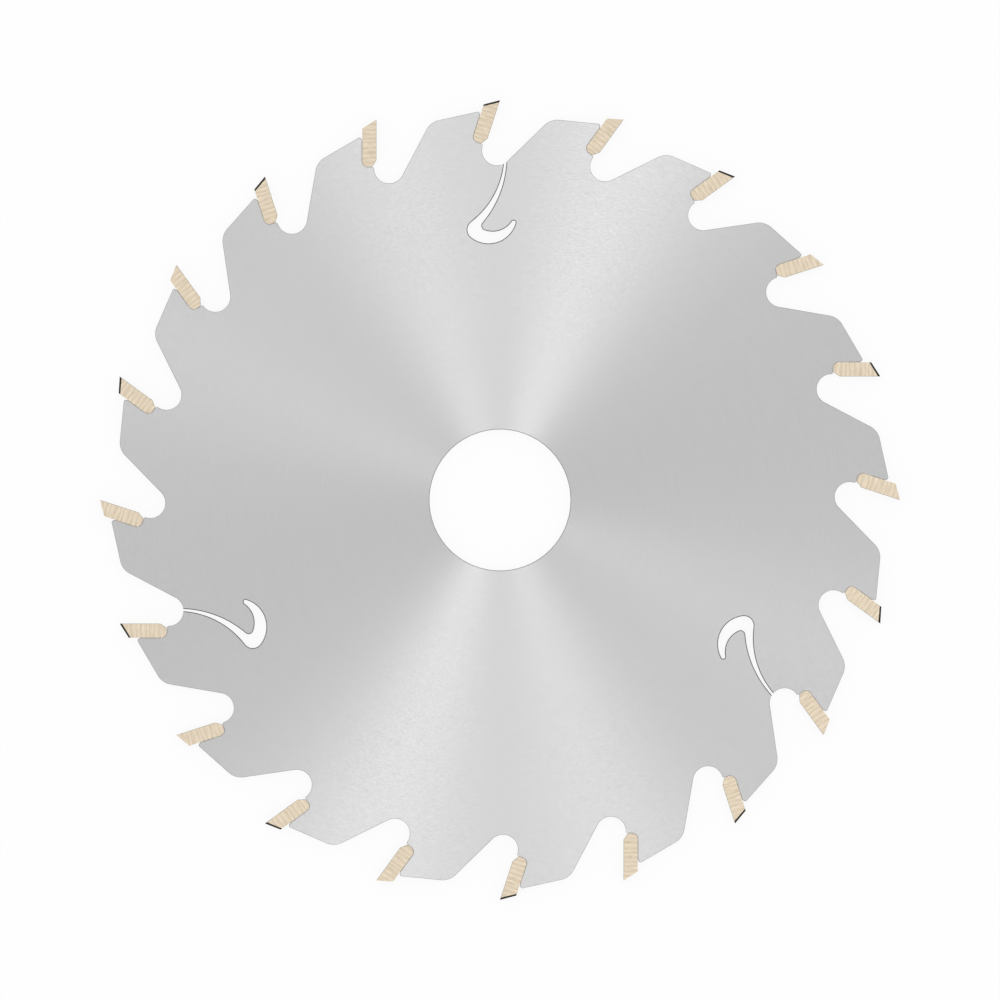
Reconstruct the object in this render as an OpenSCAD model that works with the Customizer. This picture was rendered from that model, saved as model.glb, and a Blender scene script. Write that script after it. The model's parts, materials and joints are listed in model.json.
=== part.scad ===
// Circular saw blade with carbide tips: a flat steel plate, one brazed tip in a seat on each
// tooth, expansion slots that open into some of the gullets and end in a curl, and a plain bore.
// The blade lies flat. Its axis is Z, the origin is the bore's centre halfway through the plate,
// and the first tooth's cutting corner points along +Y. Teeth count clockwise, seen from above.

/* [Blade] */
// Cutting diameter, over the tips
blade_d = 170; // [150:1:200]
// Diameter of the arbor bore
bore_d = 30; // [16:0.1:40]
// Number of teeth
teeth = 20; // [16:1:24]
// Thickness of the steel plate
plate_t = 1.6; // [1.2:0.05:1.8]

/* [Carbide tips] */
// Width of the cut, from cutting corner to cutting corner
kerf = 2.6; // [2.4:0.05:3.2]
// Length of a tip, down its front face
tip_l = 10; // [8:0.1:12]
// Thickness of a tip, from its front to its back
tip_t = 3; // [2.4:0.1:3.6]
// Hook angle: how far the front face leans into the cut
hook = 18; // [10:0.5:22]
// Clearance angle of the top, behind the cutting edge
top_clearance = 14; // [8:0.5:18]
// Bevel of the top across the tip, to one side and the other by turns
top_bevel = 10; // [0:0.5:15]
// Side clearance towards the blade's centre
side_radial = 1.5; // [0.5:0.1:2]
// Side clearance towards the back of the tip
side_tangential = 2.5; // [1:0.1:3]
// Chamfer at the foot of the front face: its length up the face
foot_l = 1.4; // [0.5:0.1:2]
// Chamfer at the foot of the front face: its depth into the tip
foot_w = 0.9; // [0.3:0.1:1.2]
// Radius of the tip's lower back edge
heel_r = 1.2; // [0.5:0.1:1.4]
// Thickness of the braze between a tip and its seat
braze_t = 0.15; // [0.05:0.01:0.3]

/* [Teeth and gullets] */
// How far the back of a tip stands out of the tooth's top land
tip_proud = 1.6; // [0.5:0.1:3]
// Fall of the top land behind the tip
land_fall = 12.4; // [8:0.1:16]
// Radius of the land's corner beside the tip
land_corner_r = 0.5; // [0.2:0.05:0.8]
// Radius of the shoulder between the top land and the tooth's back
shoulder_r = 4; // [2:0.1:5]
// Slope of the tooth's back, against the tooth's own tangent
back_slope = 62.3; // [56:0.1:68]
// Radius of the gullet's floor
gullet_r = 3.2; // [2.6:0.1:4]
// How far the gullet's centre lies below the seat's ledge
gullet_drop = 0.2; // [0:0.05:0.8]
// How far the gullet's floor reaches in behind the tip's front face
gullet_undercut = 0.5; // [0.1:0.05:0.8]
// Radius of the ledge's corner, between the seat and the gullet
ledge_corner_r = 0.25; // [0.1:0.05:0.4]

/* [Expansion slots] */
// Gullets from one slot to the next
slot_every = 7; // [4:1:8]
// Turn of each slot in its gullet, clockwise
slot_turns = [0, 9, 18]; // [0:1:20]
// Move of each slot across its gullet
slot_across = [0, -1.4, -1.85]; // [-2:0.05:1]
// Move of each slot out of its gullet, away from the bore
slot_out = [0, -0.65, -0.5]; // [-1:0.05:0.5]
// Head of the stem, inside the gullet, from the gullet's centre
stem_head = [1.8, -1.25]; // [-2:0.05:2]
// Width of the stem at its head
stem_head_w = 0.5; // [0.3:0.05:0.8]
// Foot of the stem, at the curl, from the gullet's centre
stem_foot = [-5.1, -16]; // [-17:0.1:-4]
// Width of the stem at its foot
stem_foot_w = 2.9; // [2.4:0.1:3.4]
// Radius of the stem's hollow edge
stem_near_r = 18; // [15:0.5:22]
// Radius of the stem's bulging edge
stem_far_r = 21.7; // [19:0.1:26]
// Centre of the curl that ends the slot, from the gullet's centre
curl_at = [-1.8, -13.8]; // [-15:0.1:0]
// Radius of the curl's outer edge
curl_r = 6; // [5.6:0.1:6.5]
// Radius of the curl's inner edge
curl_inner_r = 4.9; // [4.5:0.1:5.2]
// Width of the curl at its belly
curl_belly = 2.75; // [2.4:0.05:3.1]
// Direction from the curl's belly to its open side
curl_opens = 58; // [52:1:66]
// Radius of the slot's outer corner, between stem and curl
slot_heel_r = 2.05; // [1.7:0.05:2.4]
// Radius of the plate's tongue, between stem and curl
slot_tongue_r = 1; // [0.6:0.05:1.3]
// Radius of the curl's end
slot_end_r = 0.45; // [0.35:0.05:0.6]

/* [Hidden] */
$fn = 96;
// Arcs run over their tangent lines by this much, so that every line and arc truly cross
blend = 0.01;
// Cutters and corner pieces reach this far past what they cut or join
over = 1;
// Longest chord and widest turn of one step along a slot's edge
slot_step = 0.8;
slot_step_turn = 15;

cut_r = blade_d / 2;
pitch = 360 / teeth;
seat_u = tip_l + braze_t;
seat_v = tip_t + braze_t;
heel = [tip_l - heel_r, tip_t - heel_r];
tip_top_fall = hook + top_clearance;
land_u = tip_t * tan(tip_top_fall) + tip_proud;

// Which face of the blade carries the high end of a tooth's cutting edge
function high_side(k) = k % 2 == 1 ? -1 : 1;
function two_digits(k) = k < 10 ? str("0", k) : str(k);
function tip_name(k) = str("carbide_tip_", two_digits(k));
function seam_name(k) = str("braze_seam_", two_digits(k));

// Plane geometry
function along(a) = [cos(a), sin(a)];
function turned(p, a) = [p.x * cos(a) - p.y * sin(a), p.x * sin(a) + p.y * cos(a)];
function heading(p, q) = atan2(q.y - p.y, q.x - p.x);

// Where the line through p towards angle a meets the line through q towards angle b
function crossing(p, a, q, b) = p + along(a) * cross(q - p, along(b)) / cross(along(a), along(b));

// Centre of the circle of radius r through p and q, to the left of the way from p to q
function centre_through(p, q, r) =
    let (half = norm(q - p) / 2)
    (p + q) / 2 + sqrt(r * r - half * half) * along(heading(p, q) + 90);

// Point at distance ra from a and rb from b, to the left of the way from a to b
function at_distances(a, ra, b, rb) =
    let (d = norm(b - a), x = (d * d + ra * ra - rb * rb) / (2 * d))
    a + x * along(heading(a, b)) + sqrt(ra * ra - x * x) * along(heading(a, b) + 90);

// The angle b, as the first full-turn equal of it past a, counting up or down
function up_to(a, b) = b + 360 * ceil((a - b) / 360);
function down_to(a, b) = b - 360 * ceil((b - a) / 360);

// Points of an arc about c, from angle a to angle b
function arc(c, r, a, b) =
    let (steps = ceil(max(abs(b - a) / slot_step_turn, abs(b - a) * PI / 180 * r / slot_step)))
    [for (i = [0 : steps]) c + r * along(a + (b - a) * i / steps)];

// Tooth outline, in the first tooth's own place.
// A point is u down the tip's front face from the cutting corner, and v behind that face.
function tip_point(u, v) = [0, cut_r] + turned([-v, -u], -hook);

gullet_at = tip_point(seat_u + gullet_drop, gullet_undercut - gullet_r);
gullet_behind = turned(gullet_at, pitch);
back_start = gullet_behind + gullet_r * along(back_slope - 90);
land_start = tip_point(land_u, seat_v);
shoulder_at = crossing(
    back_start + shoulder_r * along(back_slope - 90), back_slope,
    land_start + shoulder_r * along(land_fall - 90), land_fall
);

land_corner_at = crossing(
    tip_point(land_u, seat_v + land_corner_r), 90 - hook,
    land_start + land_corner_r * along(land_fall - 90), land_fall
);
// The ledge's corner rounds off into the gullet's floor
ledge_corner_v = gullet_undercut - gullet_r
    + sqrt(pow(gullet_r + ledge_corner_r, 2) - pow(ledge_corner_r - gullet_drop, 2));
ledge_corner_at = tip_point(seat_u + ledge_corner_r, ledge_corner_v);
// The braze ends where the land's corner begins to round away from the tip
seam_top = turned(land_corner_at - [0, cut_r], hook).y;

// The blank before its corners are rounded and its gullets and seats are cut
tooth_outline = [
    back_start,
    crossing(back_start, back_slope, land_start, land_fall),
    crossing(land_start, land_fall, tip_point(0, 0), 90 - hook),
    tip_point(seat_u, 0),
    gullet_at
];

// Slot outline, about the centre of its gullet
stem_side = along(heading(stem_foot, stem_head) + 90);
near_head = stem_head + stem_side * stem_head_w / 2;
near_foot = stem_foot + [-stem_foot_w / 2, 0];
far_head = stem_head - stem_side * stem_head_w / 2;
far_foot = stem_foot + [stem_foot_w / 2, 0];
near_at = centre_through(near_foot, near_head, stem_near_r);
far_at = centre_through(far_foot, far_head, stem_far_r);
curl_inner_at = curl_at + (curl_belly - curl_r + curl_inner_r) * along(curl_opens);
slot_heel_at = at_distances(curl_at, curl_r - slot_heel_r, near_at, stem_near_r + slot_heel_r);
tongue_at = at_distances(curl_inner_at, curl_inner_r - slot_tongue_r, far_at, stem_far_r + slot_tongue_r);
slot_end_at = at_distances(curl_inner_at, curl_inner_r + slot_end_r, curl_at, curl_r - slot_end_r);

// Each arc ends where the next one is tangent to it
to_heel = heading(near_at, slot_heel_at);
heel_in = heading(slot_heel_at, near_at);
heel_out = up_to(heel_in, heading(curl_at, slot_heel_at));
to_end = up_to(heel_out, heading(curl_at, slot_end_at));
end_out = up_to(to_end, heading(slot_end_at, curl_inner_at));
inner_in = heading(curl_inner_at, slot_end_at);
inner_out = down_to(inner_in, heading(curl_inner_at, tongue_at));
tongue_out = down_to(inner_out, heading(tongue_at, far_at));

slot_outline = concat(
    arc(near_at, stem_near_r, heading(near_at, near_head), to_heel),
    arc(slot_heel_at, slot_heel_r, heel_in, heel_out),
    arc(curl_at, curl_r, heel_out, to_end),
    arc(slot_end_at, slot_end_r, to_end, end_out),
    arc(curl_inner_at, curl_inner_r, inner_in, inner_out),
    arc(tongue_at, slot_tongue_r, inner_out, tongue_out),
    arc(far_at, stem_far_r, heading(far_at, tongue_at), heading(far_at, far_head))
);

// Places its children at tooth k
module at_tooth(k) rotate(-(k - 1) * pitch) children();

// Places its children with the cutting corner at the origin, the front face along Y
// and the tip behind it, towards -X
module at_tip() translate([0, cut_r]) rotate(-hook) children();

// What is left of a square corner outside a round of radius r about the tip's heel
module heel_corner(r) {
    difference() {
        translate([-heel.y - r - over, -heel.x - r - over]) square(r + over);
        translate([-heel.y, -heel.x]) circle(r + blend);
    }
}

// Side view of a tip, left long at the top for the bevel to cut
module tip_profile() {
    difference() {
        polygon([
            [0, over],
            [0, foot_l - tip_l],
            [-foot_w, -tip_l],
            [-tip_t, -tip_l],
            [-tip_t, over]
        ]);
        heel_corner(heel_r);
    }
}

// Seat of a tip: the pocket for the tip and its braze
module seat_profile() {
    difference() {
        translate([-seat_v, -seat_u]) square([seat_v + over, seat_u + over]);
        heel_corner(heel_r + braze_t);
    }
}

// What a round of radius r about a point takes off a corner, between its radii at two angles
module corner_offcut(at, r, first, last) {
    half_turn = (last - first) / 2;
    reach = r + over;
    difference() {
        translate(at)
            polygon([
                [0, 0],
                reach * along(first),
                reach / cos(half_turn) * along(first + half_turn),
                reach * along(last)
            ]);
        translate(at) circle(r + blend);
    }
}

// The rounds of one tooth: its shoulder, the land's corner beside the tip and the ledge's corner
module tooth_offcuts() {
    corner_offcut(shoulder_at, shoulder_r, land_fall + 90, back_slope + 90);
    corner_offcut(land_corner_at, land_corner_r, -hook, land_fall + 90);
    corner_offcut(ledge_corner_at, ledge_corner_r, heading(ledge_corner_at, gullet_at), 90 - hook);
}

// Steel plate: teeth with their seats, gullets, expansion slots and bore
module plate_profile() {
    difference() {
        polygon([for (k = [0 : teeth - 1]) for (p = tooth_outline) turned(p, -k * pitch)]);
        for (k = [1 : teeth]) at_tooth(k) tooth_offcuts();
        for (k = [1 : teeth]) at_tooth(k) translate(gullet_at) circle(gullet_r + blend);
        for (k = [1 : teeth]) at_tooth(k) at_tip() seat_profile();
        for (i = [0 : len(slot_turns) - 1]) expansion_slot(i);
        circle(d = bore_d);
    }
}

module expansion_slot(i) {
    at_tooth(1 + i * slot_every)
        translate(gullet_at + [slot_across[i], slot_out[i]])
            rotate(-slot_turns[i])
                polygon(slot_outline);
}

module saw_plate() {
    color("#c9c9c9")
        linear_extrude(plate_t, center = true)
            plate_profile();
}

// Half-space over a tip's top, which slopes back by its clearance and across by its bevel
module over_top(k) {
    reach = tip_l + tip_t;
    translate([0, 0, high_side(k) * kerf / 2])
        rotate([0, 0, tip_top_fall])
            rotate([-high_side(k) * top_bevel, 0, 0])
                translate([-reach, 0, -reach])
                    cube(2 * reach);
}

// Half-space beside a tip, on the face of the blade that side names
module beside_tip(side) {
    reach = tip_l + tip_t;
    translate([0, 0, side * kerf / 2])
        rotate([side * side_radial, -side * side_tangential, 0])
            translate([-reach, -reach, side > 0 ? 0 : -kerf])
                cube([2 * reach, 2 * reach, kerf]);
}

// One carbide tip: hook, top clearance, alternate bevel and side clearances are ground on it
module carbide_tip(k) {
    color("#dccfb9")
        at_tooth(k)
            at_tip()
                difference() {
                    linear_extrude(kerf + over, center = true) tip_profile();
                    over_top(k);
                    beside_tip(1);
                    beside_tip(-1);
                }
}

// One braze seam: the thin filler down the back, round the heel and along the foot of a tip
module braze_seam(k) {
    color("#a8a498")
        at_tooth(k)
            at_tip()
                linear_extrude(plate_t, center = true)
                    difference() {
                        polygon([
                            [-seat_v, seam_top],
                            [-seat_v, -seat_u],
                            [-foot_w, -seat_u],
                            [-foot_w, -heel.x],
                            [-heel.y, seam_top]
                        ]);
                        heel_corner(heel_r + braze_t);
                        tip_profile();
                    }
}

saw_plate();
for (k = [1 : teeth]) {
    carbide_tip(k);
    braze_seam(k);
}
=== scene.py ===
# %% [markdown]
# # A circular saw blade with carbide tips
#
# The blade is a flat steel plate with twenty teeth, a carbide tip brazed into a seat on each tooth,
# three curled expansion slots and a plain bore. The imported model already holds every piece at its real
# size, so this lesson never moves anything. It breaks the sharp edges, raises the braze into beads and
# gives each surface its own finish.

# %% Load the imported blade
import json
import math

import bmesh
import bpy
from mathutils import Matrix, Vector


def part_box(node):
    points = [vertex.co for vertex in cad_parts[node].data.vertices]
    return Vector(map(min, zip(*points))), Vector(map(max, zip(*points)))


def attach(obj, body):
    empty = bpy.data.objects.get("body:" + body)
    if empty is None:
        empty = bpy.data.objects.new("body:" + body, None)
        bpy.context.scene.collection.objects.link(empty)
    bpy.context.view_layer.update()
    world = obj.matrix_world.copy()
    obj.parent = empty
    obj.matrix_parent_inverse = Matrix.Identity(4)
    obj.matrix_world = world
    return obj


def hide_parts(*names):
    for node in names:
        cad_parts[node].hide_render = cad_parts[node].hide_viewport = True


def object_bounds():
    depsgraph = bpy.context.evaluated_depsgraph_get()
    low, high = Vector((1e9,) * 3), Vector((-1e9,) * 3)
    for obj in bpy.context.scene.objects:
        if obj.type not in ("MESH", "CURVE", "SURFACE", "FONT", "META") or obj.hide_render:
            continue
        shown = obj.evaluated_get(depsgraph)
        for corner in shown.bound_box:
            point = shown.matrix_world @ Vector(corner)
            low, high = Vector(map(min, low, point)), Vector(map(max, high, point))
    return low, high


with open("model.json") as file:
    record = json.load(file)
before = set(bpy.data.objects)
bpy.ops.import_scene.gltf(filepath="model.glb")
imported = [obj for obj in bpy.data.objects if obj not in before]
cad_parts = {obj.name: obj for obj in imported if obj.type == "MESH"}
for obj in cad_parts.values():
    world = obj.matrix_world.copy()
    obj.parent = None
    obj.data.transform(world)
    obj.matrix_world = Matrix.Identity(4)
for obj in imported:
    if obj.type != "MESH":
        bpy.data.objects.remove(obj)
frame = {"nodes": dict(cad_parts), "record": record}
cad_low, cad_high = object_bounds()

scene = bpy.context.scene
MM = 0.001
print("Loaded", len(frame["nodes"]), "nodes, blade", round((cad_high.x - cad_low.x) / MM, 1), "mm across")

# %% [markdown]
# ## What the frame can tell
#
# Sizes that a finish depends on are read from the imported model, so that the looks follow the blade when
# someone changes it: how many teeth there are, where the plate's faces lie, and how wide the bore is.

# %% Measure the blade
tip_nodes = sorted(name for name in frame["nodes"] if name.startswith("carbide_tip_"))
seam_nodes = sorted(name for name in frame["nodes"] if name.startswith("braze_seam_"))
mounts = {mount["name"]: mount for mount in frame["record"]["mounts"]}
bore_radius = mounts["arbor_bore"]["dims"]["r_mm"] * MM
cutting_radius = cad_high.y
plate_low, plate_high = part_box("saw_plate")
print("Teeth:", len(tip_nodes), " plate:", round((plate_high.z - plate_low.z) / MM, 2), "mm thick")
print("Bore radius:", round(bore_radius / MM, 2), "mm")
print("Cutting radius:", round(cutting_radius / MM, 2), "mm")

# %% [markdown]
# ## The camera
#
# The blade is seen square on, from straight above. A very long lens far away keeps the walls of the bore
# and the slots out of sight, as in a catalogue picture, and it stays a perspective camera.

# %% Camera straight above the bore
FRAME_WIDTH = 212.5 * MM
LENS = 1200
SENSOR = 36

camera_data = bpy.data.cameras.new("camera")
camera_data.lens = LENS
camera_data.sensor_width = SENSOR
camera_distance = FRAME_WIDTH * LENS / SENSOR
camera_data.clip_end = 4 * camera_distance
camera = bpy.data.objects.new("camera", camera_data)
camera.location = (0, 0, plate_high.z + camera_distance)
scene.collection.objects.link(camera)
scene.camera = camera
print("Camera", round(camera_distance, 3), "m above the plate")

# %% [markdown]
# ## Building a finish
#
# Every finish below is a Principled shader with a small net of nodes in front of it. These helpers add a
# node, set its plain values on its own sockets and wire the rest, so that each finish reads as a recipe.

# %% Helpers for finishes
NOISE_LOW = 0.3
NOISE_HIGH = 0.7


def new_finish(name):
    """A material with its node tree and its Principled shader."""
    finish = bpy.data.materials.new(name)
    finish.use_nodes = True
    return finish, finish.node_tree, finish.node_tree.nodes["Principled BSDF"]


def add(tree, kind, settings=None, **sockets):
    """A node of that kind, with its settings; a socket takes a value or another node's output."""
    node = tree.nodes.new("ShaderNode" + kind)
    for key, value in (settings or {}).items():
        setattr(node, key, value)
    for key, value in sockets.items():
        place(tree, node.inputs, key.replace("_", " "), value)
    return node


def place(tree, inputs, key, value):
    """Sets an input by its name, or by its number written as in1, or links an output to it."""
    socket = inputs[int(key[2:])] if key[:2] == "in" and key[2:].isdigit() else inputs[key]
    if isinstance(value, bpy.types.NodeSocket):
        tree.links.new(value, socket)
    else:
        socket.default_value = value


def grey(level):
    return (level, level, level, 1)


def spread(tree, value, low, high):
    """Stretches a noise, which keeps near the middle, over the range from low to high."""
    node = add(tree, "MapRange", in0=value, in1=NOISE_LOW, in2=NOISE_HIGH, in3=low, in4=high)
    return node.outputs[0]


def blend(tree, share, first, second):
    """A value between two others, with that share of the second."""
    node = add(tree, "Mix", {"data_type": "FLOAT"}, in0=share, in2=first, in3=second)
    return node.outputs[0]


def tinted(tree, factor, dark, light):
    """A colour between dark and light."""
    node = add(tree, "Mix", {"data_type": "RGBA"}, in0=factor, in6=dark, in7=light)
    return node.outputs[2]


# %% [markdown]
# ## Ground steel
#
# The plate was ground flat while it turned, which leaves fine grooves in circles about the bore. Such
# grooves mirror a lamp as a bright ray from the bore to the rim, and as a second ray across from it. An
# anisotropic shader does just that. Its tangent runs round the axis, and a quarter turn of it spreads
# the shine along the radius, across the grooves. Faint grind marks follow the circles: broad ones from
# the stroke of the wheel, hair-thin ones from its grit, and a grain of short nicks. A noise whose place
# is a point on the unit circle, raised by the radius, has no seam anywhere.

# %% The plate's steel
STEEL_DARK = grey(0.617)
STEEL_LIGHT = grey(0.644)
STEEL_ROUGH = (0.402, 0.478)
STEEL_EDGE_TINT = grey(0.8)
STROKE_LINE = 0.22 * MM
STROKE_SWEEP = 5
GRIT_LINE = 0.035 * MM
GRIT_SWEEP = 2.5
GRAIN_LINE = 0.1 * MM
GRAIN_SWEEP = 70
GROOVE_STRETCH = 0.977
QUARTER_TURN = 0.25


def polar_noise(tree, sweep, line, detail):
    """Noise in thin arcs about the Z axis: sweep sets how short the arcs are, line how wide."""
    place_on_plate = add(tree, "TexCoord").outputs["Object"]
    flat = add(tree, "VectorMath", {"operation": "MULTIPLY"}, in0=place_on_plate, in1=(1, 1, 0)).outputs[0]
    radius = add(tree, "VectorMath", {"operation": "LENGTH"}, in0=flat).outputs["Value"]
    heading = add(tree, "VectorMath", {"operation": "NORMALIZE"}, in0=flat).outputs[0]
    turned = add(tree, "VectorMath", {"operation": "SCALE"}, in0=heading, Scale=sweep).outputs[0]
    lifted = add(tree, "Math", {"operation": "DIVIDE"}, in0=radius, in1=line).outputs[0]
    raised = add(tree, "CombineXYZ", Z=lifted).outputs[0]
    spot = add(tree, "VectorMath", {"operation": "ADD"}, in0=turned, in1=raised).outputs[0]
    return add(tree, "TexNoise", Vector=spot, Scale=1, Detail=detail).outputs["Fac"]


def object_noise(tree, cell, detail, stretch=(1, 1, 1)):
    """Noise on the object's own coordinates, with cells of that size."""
    spot = add(tree, "TexCoord").outputs["Object"]
    scaled = add(tree, "VectorMath", {"operation": "MULTIPLY"}, in0=spot, in1=stretch).outputs[0]
    return add(tree, "TexNoise", Vector=scaled, Scale=1 / cell, Detail=detail).outputs["Fac"]


def ground_in_circles(tree, metal):
    """Spreads the metal's shine along the radius, across grooves about the Z axis."""
    place(tree, metal.inputs, "Anisotropic", GROOVE_STRETCH)
    place(tree, metal.inputs, "Anisotropic Rotation", QUARTER_TURN)
    tangent = add(tree, "Tangent", {"direction_type": "RADIAL", "axis": "Z"}).outputs[0]
    place(tree, metal.inputs, "Tangent", tangent)


def ground_steel():
    finish, tree, steel = new_finish("ground_steel")
    strokes = polar_noise(tree, STROKE_SWEEP, STROKE_LINE, 3)
    scores = polar_noise(tree, GRIT_SWEEP, GRIT_LINE, 2)
    marks = blend(tree, 0.5, strokes, scores)
    grain = polar_noise(tree, GRAIN_SWEEP, GRAIN_LINE, 2)
    both = add(tree, "Math", {"operation": "MULTIPLY"}, in0=marks, in1=grain).outputs[0]
    tone = tinted(tree, spread(tree, marks, 0, 1), STEEL_DARK, STEEL_LIGHT)
    place(tree, steel.inputs, "Base Color", tone)
    place(tree, steel.inputs, "Roughness", spread(tree, grain, *STEEL_ROUGH))
    place(tree, steel.inputs, "Metallic", 1.0)
    place(tree, steel.inputs, "Specular Tint", STEEL_EDGE_TINT)
    ground_in_circles(tree, steel)
    bump = add(tree, "Bump", Strength=0.15, Distance=0.002 * MM, Height=both).outputs[0]
    place(tree, steel.inputs, "Normal", bump)
    return finish


steel_finish = ground_steel()
print("Made", steel_finish.name, "with", len(steel_finish.node_tree.nodes), "nodes")

# %% [markdown]
# ## Cut edges
#
# The outline, the slots and the bore were cut by laser. The cut leaves fine lines straight through the
# plate's thickness, so the noise is stretched along Z until it no longer changes that way. The slots keep
# the dark skin of the cut, while the bore was honed afterwards and is brighter.

# %% Walls, slots and bore
CUT_LINE = 0.25 * MM
THROUGH = (1, 1, 0.02)
ROUGH_SPREAD = 0.06


def cut_edge(name, dark, light, rough):
    """Metal with lines through the thickness, between a dark and a light grey."""
    finish, tree, metal = new_finish(name)
    lines = object_noise(tree, CUT_LINE, 3, THROUGH)
    tone = tinted(tree, spread(tree, lines, 0, 1), grey(dark), grey(light))
    place(tree, metal.inputs, "Base Color", tone)
    place(tree, metal.inputs, "Roughness", spread(tree, lines, rough - ROUGH_SPREAD, rough + ROUGH_SPREAD))
    place(tree, metal.inputs, "Metallic", 1.0)
    bump = add(tree, "Bump", Strength=0.4, Distance=0.01 * MM, Height=lines).outputs[0]
    place(tree, metal.inputs, "Normal", bump)
    return finish


wall_finish = cut_edge("laser_cut_wall", 0.29, 0.38, 0.45)
slot_finish = cut_edge("slot_edge", 0.12, 0.18, 0.5)
bore_finish = cut_edge("bore_edge", 0.27, 0.34, 0.4)
print("Made", wall_finish.name, slot_finish.name, bore_finish.name)

# %% [markdown]
# ## Carbide
#
# A tip's flanks were ground by a wheel that ran across it and stepped on by about a millimetre, so they
# carry even bands with finer scores between them, and they look pale and warm. The face and the top are
# given a far darker colour than the flanks. The lines have to follow each tip, wherever it points, so they
# read its own UV map: U runs up the tip in millimetres, V across it. A Wave texture makes the bands, a noise
# the scores.

# %% The tips' finishes
FLANK_DARK = (0.497, 0.417, 0.309, 1)
FLANK_LIGHT = (0.729, 0.633, 0.506, 1)
FACE_DARK = (0.120, 0.110, 0.095, 1)
FACE_LIGHT = (0.170, 0.158, 0.138, 1)
TOP_DARK = (0.112, 0.110, 0.097, 1)
TOP_LIGHT = (0.160, 0.156, 0.138, 1)
BAND_PITCH = 1.0
BAND_LENGTH = 8
BAND_SHARE = 0.12
SCORES_PER_MM = 8
SCORE_LENGTH = 15
WAVE_REPEAT = math.tau / 20


def place_on_tip(tree, length):
    """The place on a tip's map, with everything stretched across the tip by that much."""
    map_place = add(tree, "UVMap", {"uv_map": "tip_map"}).outputs[0]
    stretch = (1, 1 / length, 1)
    return add(tree, "VectorMath", {"operation": "MULTIPLY"}, in0=map_place, in1=stretch).outputs[0]


def wheel_bands(tree):
    """Bands across a tip, about a pitch apart; a wave of scale 1 repeats after WAVE_REPEAT."""
    return add(tree, "TexWave", {"bands_direction": "X"}, Vector=place_on_tip(tree, BAND_LENGTH),
               Scale=WAVE_REPEAT / BAND_PITCH, Distortion=4, Detail=1, Detail_Scale=2).outputs["Fac"]


def wheel_scores(tree):
    """Noise in fine straight lines across a tip."""
    return add(tree, "TexNoise", Vector=place_on_tip(tree, SCORE_LENGTH), Scale=SCORES_PER_MM,
               Detail=4, Roughness=0.65).outputs["Fac"]


def ground_carbide(name, dark, light, rough, edge_tint):
    finish, tree, carbide = new_finish(name)
    lines = blend(tree, BAND_SHARE, wheel_scores(tree), wheel_bands(tree))
    place(tree, carbide.inputs, "Base Color", tinted(tree, spread(tree, lines, 0, 1), dark, light))
    place(tree, carbide.inputs, "Roughness", spread(tree, lines, rough + ROUGH_SPREAD, rough - ROUGH_SPREAD))
    place(tree, carbide.inputs, "Metallic", 1.0)
    place(tree, carbide.inputs, "Specular Tint", grey(edge_tint))
    bump = add(tree, "Bump", Strength=0.25, Distance=0.01 * MM, Height=lines).outputs[0]
    place(tree, carbide.inputs, "Normal", bump)
    return finish


flank_finish = ground_carbide("carbide_flank", FLANK_DARK, FLANK_LIGHT, 0.5, 1.0)
face_finish = ground_carbide("carbide_face", FACE_DARK, FACE_LIGHT, 0.35, 0.5)
top_finish = ground_carbide("carbide_top", TOP_DARK, TOP_LIGHT, 0.4, 0.1)
print("Made", flank_finish.name, face_finish.name, top_finish.name)

# %% [markdown]
# ## Braze
#
# The filler between tip and seat is a silver alloy. It froze from a melt, so its skin is slightly mottled,
# and it was ground over together with the plate, so it brightens in the same rays.

# %% The braze
BRAZE_DARK = (0.330, 0.320, 0.305, 1)
BRAZE_LIGHT = (0.435, 0.425, 0.405, 1)
BRAZE_ROUGH = (0.335, 0.395)
MOTTLE = 0.3 * MM


def silver_braze():
    finish, tree, filler = new_finish("silver_braze")
    mottle = object_noise(tree, MOTTLE, 3)
    tone = tinted(tree, spread(tree, mottle, 0, 1), BRAZE_DARK, BRAZE_LIGHT)
    place(tree, filler.inputs, "Base Color", tone)
    place(tree, filler.inputs, "Roughness", spread(tree, mottle, *BRAZE_ROUGH))
    place(tree, filler.inputs, "Metallic", 1.0)
    ground_in_circles(tree, filler)
    bump = add(tree, "Bump", Strength=0.1, Distance=0.02 * MM, Height=mottle).outputs[0]
    place(tree, filler.inputs, "Normal", bump)
    return finish


braze_finish = silver_braze()
print("Made", braze_finish.name)

# %% [markdown]
# ## From a node to a piece
#
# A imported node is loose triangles. A copy of it is welded, and the triangles that lie in one plane become
# one face again, which gives clean edges to bevel. The finished mesh then replaces its node.

# %% Copy a node, finish a piece
WELD = 0.002 * MM
FLAT = math.radians(0.5)
CREASE = math.radians(32)
LEVEL = 0.9


def welded_copy(node):
    """The node's mesh, with its triangles joined into the flat faces that they came from."""
    copy = bmesh.new()
    copy.from_mesh(frame["nodes"][node].data)
    bmesh.ops.remove_doubles(copy, verts=copy.verts, dist=WELD)
    bmesh.ops.dissolve_limit(copy, angle_limit=FLAT, verts=copy.verts, edges=copy.edges)
    return copy


def is_level(face):
    """Whether the face looks straight up or down, apart from a tip's small side clearance."""
    return abs(face.normal.z) > LEVEL


def finished_piece(name, shape, finishes, node):
    """Turns the shape into an object that stands for the node and rides on the blade."""
    mesh = bpy.data.meshes.new(name)
    shape.to_mesh(mesh)
    shape.free()
    if "custom_normal" in mesh.attributes:
        mesh.attributes.remove(mesh.attributes["custom_normal"])
    for finish in finishes:
        mesh.materials.append(finish)
    mesh.shade_smooth()
    mesh.set_sharp_from_angle(angle=CREASE)
    piece = bpy.data.objects.new(name, mesh)
    scene.collection.objects.link(piece)
    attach(piece, "root")
    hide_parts(node)
    return piece


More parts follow.
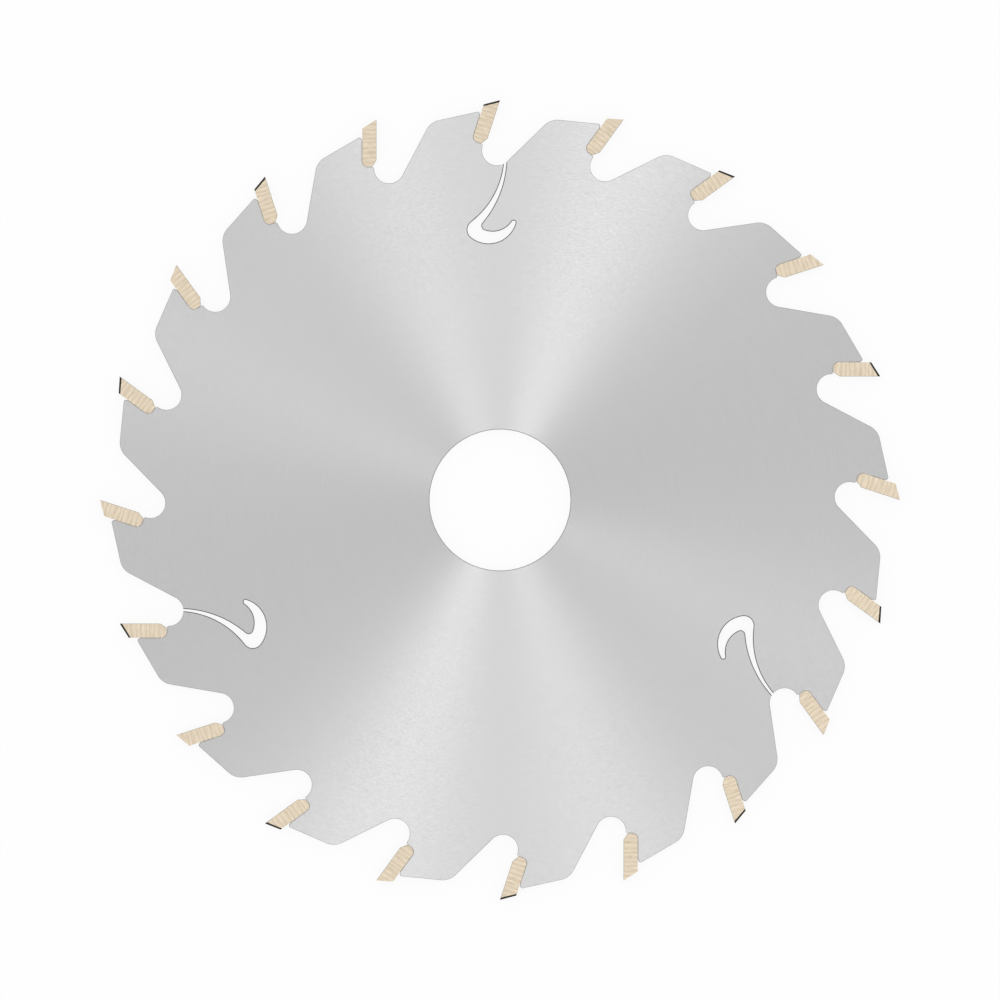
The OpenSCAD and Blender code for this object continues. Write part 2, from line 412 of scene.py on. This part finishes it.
# %% [markdown]
# ## The saw plate
#
# A real plate has no razor edges: after cutting, its rims are broken with a stone or a brush. All edges
# between a face and a wall get a narrow bevel. Round the slots and the bore the bevel shows the tone of
# the cut, which draws the thin dark line that the eye sees there. The slots open into gullets, so their
# rims are found by walking along the edge until it turns a sharp corner.

# %% Rims of the plate
SLOT_BREAK = 0.17 * MM
BORE_BREAK = 0.14 * MM
OUTLINE_BREAK = 0.08 * MM
TOUCH = 0.01 * MM
SHARP_CORNER = math.radians(35)
BORE_REACH = 1.05
SLOT_REACH = 0.8
STEEL, WALL, SLOT, BORE = range(4)


def rim_edges(shape):
    """Edges between a level face and a wall."""
    return [e for e in shape.edges if sum(is_level(f) for f in e.link_faces) == 1]


def runs_on(edge, vert, other):
    """Whether other carries on from edge at vert without a sharp corner."""
    before = vert.co - edge.other_vert(vert).co
    after = other.other_vert(vert).co - vert.co
    return before.angle(after) < SHARP_CORNER


def run_of(seed, rims):
    """All rim edges that run on from the seed edges, as far as the next sharp corners."""
    found, front = set(seed), list(seed)
    while front:
        edge = front.pop()
        for vert in edge.verts:
            for other in vert.link_edges:
                if other in rims and other not in found and runs_on(edge, vert, other):
                    found.add(other)
                    front.append(other)
    return found


plate_shape = welded_copy("saw_plate")
rims = set(rim_edges(plate_shape))
reach = {edge: (edge.verts[0].co.xy + edge.verts[1].co.xy).length / 2 for edge in rims}
bore_rim = {edge for edge in rims if reach[edge] < BORE_REACH * bore_radius}
slot_seed = [edge for edge in rims - bore_rim if reach[edge] < SLOT_REACH * cutting_radius]
slot_rim = run_of(slot_seed, rims)
for face in plate_shape.faces:
    face.material_index = STEEL if is_level(face) else WALL
for rim, index in ((slot_rim, SLOT), (bore_rim, BORE)):
    for edge in rim:
        for face in edge.link_faces:
            if not is_level(face):
                face.material_index = index
print("Rim edges:", len(rims), " slots:", len(slot_rim), " bore:", len(bore_rim))

# %% Break the rims
def touches_braze(edge):
    """Whether the edge lies on a seat, against a seam of braze."""
    middle = (edge.verts[0].co + edge.verts[1].co) / 2
    seams = (frame["nodes"][name] for name in seam_nodes)
    return any((seam.closest_point_on_mesh(middle)[1] - middle).length < TOUCH for seam in seams)


def break_edges(shape, edges, width):
    """Bevels the edges; a bevel beside a slot's or the bore's wall takes the tone of that wall."""
    made = set(bmesh.ops.bevel(shape, geom=list(edges), offset=width, affect="EDGES", segments=1,
                               profile=0.5, material=-1, clamp_overlap=False)["faces"])
    for face in made:
        beside = {other for edge in face.edges for other in edge.link_faces} - made
        walls = {other.material_index for other in beside}
        face.material_index = max(walls - {STEEL}, default=WALL)
    return len(made)


cut_rim = slot_rim | bore_rim
outline_rim = {edge for edge in rims - cut_rim if not touches_braze(edge)}
cut_bevels = break_edges(plate_shape, slot_rim, SLOT_BREAK) + break_edges(plate_shape, bore_rim, BORE_BREAK)
outline_bevels = break_edges(plate_shape, [edge for edge in outline_rim if edge.is_valid], OUTLINE_BREAK)
plate = finished_piece("ground_plate", plate_shape, [steel_finish, wall_finish, slot_finish, bore_finish],
                       "saw_plate")
print("Plate:", len(plate.data.polygons), "faces")
print("Bevels:", cut_bevels, "on slots and bore,", outline_bevels, "on the outline")

# %% [markdown]
# ## The carbide tips
#
# Each tip keeps the exact shape of its node, with its top edges sharp. The long edges beside the front
# get a hair-thin bevel in the darker tone of the ground face, as the honing leaves it. The tip's own
# directions come from its mesh: the face that looks the way the blade turns is the cutting face.

# %% Tips
HONE = 0.05 * MM
FLANK, FACE, TOP = range(3)
MAP_STEP = 7.31
LOOKS_UP = 0.5
LOOKS_OUT = 0.3


def cutting_face(shape):
    """The tip's front: of its upright faces, the one that looks furthest round clockwise."""
    middle = sum((v.co for v in shape.verts), Vector()) / len(shape.verts)
    clockwise = Vector((middle.y, -middle.x, 0)).normalized()
    return max(shape.faces, key=lambda face: face.normal.dot(clockwise) * face.calc_area())


def tip_directions(shape):
    """Out of the cutting face, and up the tip."""
    out = cutting_face(shape).normal.copy()
    out.z = 0
    out.normalize()
    return out, Vector((-out.y, out.x, 0))


def map_tip(shape, out, up, number):
    """Lays a UV map in millimetres along the tip; the number shifts it, so that no two tips are alike."""
    layer = shape.loops.layers.uv.new("tip_map")
    for face in shape.faces:
        level = is_level(face)
        for loop in face.loops:
            spot = loop.vert.co / MM
            across = spot.dot(out) if level else spot.z
            side = MAP_STEP if face.normal.z < 0 else 0
            loop[layer].uv = (spot.dot(up) + number * MAP_STEP, across + side)


def hone(shape, edges):
    """Breaks the edges by a hair, in the tone of the cutting face."""
    made = bmesh.ops.bevel(shape, geom=edges, offset=HONE, affect="EDGES", segments=1, profile=0.5,
                           material=-1, clamp_overlap=False)
    for face in made["faces"]:
        face.material_index = FACE


def front_edges(shape, out, up):
    """The long edges beside the cutting face, without those of the top."""
    sides = [e for e in rim_edges(shape) if all(f.normal.dot(up) < LOOKS_UP for f in e.link_faces)]
    return [e for e in sides if any(f.normal.dot(out) > LOOKS_OUT for f in e.link_faces)]


def carbide_tip(number, node):
    shape = welded_copy(node)
    out, up = tip_directions(shape)
    for face in shape.faces:
        face.material_index = FLANK if is_level(face) else TOP if face.normal.dot(up) > LOOKS_UP else FACE
    hone(shape, front_edges(shape, out, up))
    map_tip(shape, out, up, number)
    finishes = [flank_finish, face_finish, top_finish]
    return finished_piece(f"tip_{number:02d}", shape, finishes, node)


tips = [carbide_tip(number, node) for number, node in enumerate(tip_nodes, start=1)]
print("Tips:", len(tips), "with", sum(len(tip.data.polygons) for tip in tips), "faces")

# %% [markdown]
# ## The braze beads
#
# Molten filler is drawn up between tip and seat and stands a little proud of the plate as a bead. Each
# seam's two ends are extruded by the height of the bead and rounded.

# %% Beads
BEAD_HEIGHT = 0.02 * MM
BEAD_ROUND = 0.015 * MM


def braze_bead(number, node):
    shape = welded_copy(node)
    for end in [face for face in shape.faces if is_level(face)]:
        lift = Vector((0, 0, math.copysign(BEAD_HEIGHT, end.normal.z)))
        raised = bmesh.ops.extrude_face_region(shape, geom=[end])
        verts = [item for item in raised["geom"] if isinstance(item, bmesh.types.BMVert)]
        bmesh.ops.translate(shape, verts=verts, vec=lift)
    shape.normal_update()
    bmesh.ops.bevel(shape, geom=rim_edges(shape), offset=BEAD_ROUND, affect="EDGES", segments=2,
                    profile=0.5, material=-1, clamp_overlap=False)
    return finished_piece(f"braze_{number:02d}", shape, [braze_finish], node)


beads = [braze_bead(number, node) for number, node in enumerate(seam_nodes, start=1)]
print("Braze beads:", len(beads), "with", sum(len(bead.data.polygons) for bead in beads), "faces")

# %% [markdown]
# ## The floor
#
# The blade lies on a plain white floor. What the camera sees of it is mostly an even white of strength 1,
# with a share of true shading left in, so that the blade still throws its soft shadow.

# %% A white floor
FLOOR_SIZE = 12
FLOOR_PAINT = grey(0.9)
EVEN_WHITE = 0.9


def seen_directly(tree):
    """1 for camera, mirror and see-through rays, and 0 for the rays that carry light around."""
    path = add(tree, "LightPath").outputs
    either = path["Is Camera Ray"]
    for other in ("Is Glossy Ray", "Is Transmission Ray"):
        either = add(tree, "Math", {"operation": "MAXIMUM"}, in0=either, in1=path[other]).outputs[0]
    return either


def floor_white():
    finish, tree, paint = new_finish("floor_white")
    place(tree, paint.inputs, "Base Color", FLOOR_PAINT)
    place(tree, paint.inputs, "Roughness", 0.9)
    place(tree, paint.inputs, "Specular IOR Level", 0.0)
    glow = add(tree, "Emission", Color=grey(1), Strength=1.0).outputs[0]
    share = add(tree, "Math", {"operation": "MULTIPLY"}, in0=seen_directly(tree), in1=EVEN_WHITE).outputs[0]
    mixed = add(tree, "MixShader", in0=share, in1=paint.outputs[0], in2=glow).outputs[0]
    tree.links.new(mixed, tree.nodes["Material Output"].inputs["Surface"])
    return finish


floor_shape = bmesh.new()
bmesh.ops.create_grid(floor_shape, x_segments=1, y_segments=1, size=FLOOR_SIZE / 2)
bmesh.ops.translate(floor_shape, verts=floor_shape.verts, vec=(0, 0, cad_low.z))
floor_mesh = bpy.data.meshes.new("floor")
floor_shape.to_mesh(floor_mesh)
floor_shape.free()
floor_mesh.materials.append(floor_white())
floor = bpy.data.objects.new("floor", floor_mesh)
scene.collection.objects.link(floor)
print("Floor at", round(cad_low.z / MM, 2), "mm")

# %% [markdown]
# ## Light
#
# Three soft distant lamps stand round the blade. Each one's compass bearing decides where its ray lies on
# the ground plate: two strong rays close together and a weak third. They stand high, so that the plate
# doesn't glare in views from the side. An even white world fills the rest.

# %% Lamps and world
# Bearing and height in degrees, strength
LAMPS = {
    "lamp_right": (70, 68, 0.215),
    "lamp_left": (288, 68, 0.169),
    "lamp_far": (155, 68, 0.080),
}
SOFTNESS = math.radians(7.5)
WORLD_LIGHT = 0.88

for name, (bearing, height, strength) in LAMPS.items():
    lamp_data = bpy.data.lights.new(name, "SUN")
    lamp_data.energy = strength
    lamp_data.angle = SOFTNESS
    lamp = bpy.data.objects.new(name, lamp_data)
    level = math.cos(math.radians(height))
    towards = Vector((level * math.cos(math.radians(bearing)), level * math.sin(math.radians(bearing)),
                      math.sin(math.radians(height))))
    lamp.location = towards
    lamp.rotation_euler = towards.to_track_quat("Z", "Y").to_euler()
    scene.collection.objects.link(lamp)

world = bpy.data.worlds.new("white_room")
world.use_nodes = True
scene.world = world
sky = world.node_tree
sky_strength = add(sky, "MapRange", in0=seen_directly(sky), in1=0, in2=1, in3=WORLD_LIGHT, in4=1)
background = sky.nodes["Background"]
background.inputs["Color"].default_value = grey(1)
sky.links.new(sky_strength.outputs[0], background.inputs["Strength"])
scene.view_settings.view_transform = "Standard"
print("Lamps:", ", ".join(LAMPS))

# %% Print the CAD box
print("CAD box in mm:", [round(v / MM, 3) for v in cad_high - cad_low])
